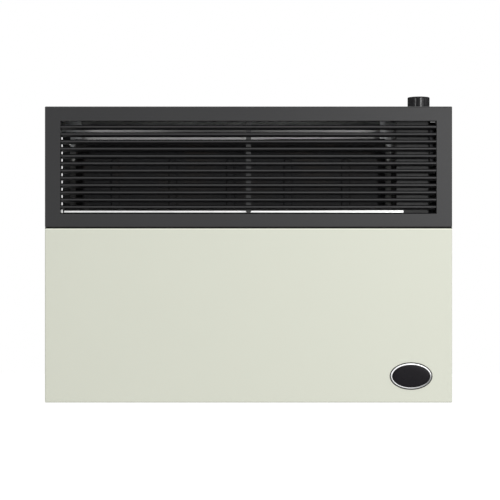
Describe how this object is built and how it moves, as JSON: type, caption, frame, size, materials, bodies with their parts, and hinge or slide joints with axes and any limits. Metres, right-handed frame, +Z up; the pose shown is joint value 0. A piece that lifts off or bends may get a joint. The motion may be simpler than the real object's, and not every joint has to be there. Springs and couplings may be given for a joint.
{
  "type": "wall mounted gas heater",
  "caption": "Wall mounted flued gas convector heater with a dark louvred upper casing, a cream lower casing, a rear balanced flue and a fluted push and turn control knob on top.",
  "frame": {"origin": "middle of the four wall fixing holes, on the rear plane that meets the wall", "axes": "+X to the viewer's right along the casing's width, +Y back into the wall, +Z up"},
  "size_m": [0.85, 0.2374, 0.645],
  "materials": {
    "charcoal_enamel": "semi-matt stove enamel",
    "cream_enamel": "satin stove enamel",
    "galvanised_sheet": "zinc coated sheet",
    "black_enamel": "heat resistant matt enamel",
    "zinc_fasteners": "zinc plated",
    "stainless_sheet": "heat tinted",
    "brass_fittings": "machined",
    "copper_tube": null,
    "steel_pipe": "drawn pipe",
    "die_cast": "die cast",
    "black_plastic": "moulded",
    "grey_plastic": "moulded",
    "badge_black": "gloss",
    "chrome_trim": "bright",
    "gasket_fibre": "woven glass fibre",
    "white_ceramic": null,
    "red_insulation": "silicone",
    "amber_glass": "heat resistant"
  },
  "bodies": {
    "cabinet": {"upper_casing": "charcoal_enamel", "lower_casing": "cream_enamel", "seam_screws": "zinc_fasteners", "casing_foot_fixings": "zinc_fasteners", "louvre_blades": "charcoal_enamel", "louvre_carrier_left": "charcoal_enamel", "louvre_carrier_right": "charcoal_enamel", "louvre_strap": "charcoal_enamel", "louvre_fixings": "zinc_fasteners", "badge_rim_ring": "chrome_trim", "badge_plate": "badge_black", "back_plate": "galvanised_sheet", "left_upright": "galvanised_sheet", "right_upright": "galvanised_sheet", "base_rail": "galvanised_sheet", "base_arms": "galvanised_sheet", "inlet_bracket": "galvanised_sheet", "casing_hooks": "galvanised_sheet", "top_deflector": "galvanised_sheet", "deflector_brackets": "galvanised_sheet", "radiation_shield": "galvanised_sheet", "shield_brackets": "galvanised_sheet", "control_shield": "charcoal_enamel", "chassis_screws": "zinc_fasteners", "chamber_front": "black_enamel", "chamber_back": "black_enamel", "chamber_screws": "zinc_fasteners", "air_box": "galvanised_sheet", "exhaust_collar": "stainless_sheet", "intake_collar": "galvanised_sheet", "flue_baffle": "stainless_sheet", "burner_tube": "stainless_sheet", "burner_end_cap": "stainless_sheet", "burner_venturi": "stainless_sheet", "burner_saddles": "stainless_sheet", "burner_door": "black_enamel", "door_gasket": "gasket_fibre", "door_screws": "zinc_fasteners", "sight_glass": "amber_glass", "sight_glass_ring": "stainless_sheet", "injector_elbow": "brass_fittings", "pilot_bracket": "stainless_sheet", "pilot_burner": "stainless_sheet", "thermocouple": "copper_tube", "spark_electrode": "white_ceramic", "gas_valve_body": "die_cast", "valve_bracket": "charcoal_enamel", "gas_inlet_fitting": "brass_fittings", "supply_pipe": "steel_pipe", "burner_feed_pipe": "copper_tube", "pilot_pipe": "copper_tube", "gland_nuts": "brass_fittings", "thermostat_bulb": "copper_tube", "bulb_clips": "zinc_fasteners", "igniter_body": "black_plastic", "igniter_lead": "red_insulation"},
    "sleeve": {"control_sleeve": "black_plastic"},
    "knob": {"control_knob": "black_plastic", "control_plunger": "stainless_sheet"},
    "igniter": {"igniter_button": "grey_plastic"}
  },
  "joints": [
    {"name": "knob_turn", "type": "hinge", "parent": "cabinet", "child": "sleeve", "pos_m": [0.364, -0.155, 0.32], "axis": [0, 0, 1], "range_deg": [0, 270]},
    {"name": "knob_push", "type": "slide", "parent": "sleeve", "child": "knob", "axis": [0, 0, -1], "range_m": [0, 0.005], "stiffness_N_per_m": 1000, "springref_m": -0.004},
    {"name": "igniter_press", "type": "slide", "parent": "cabinet", "child": "igniter", "axis": [0, 0, -1], "range_m": [0, 0.006], "stiffness_N_per_m": 800, "springref_m": -0.004}
  ]
}
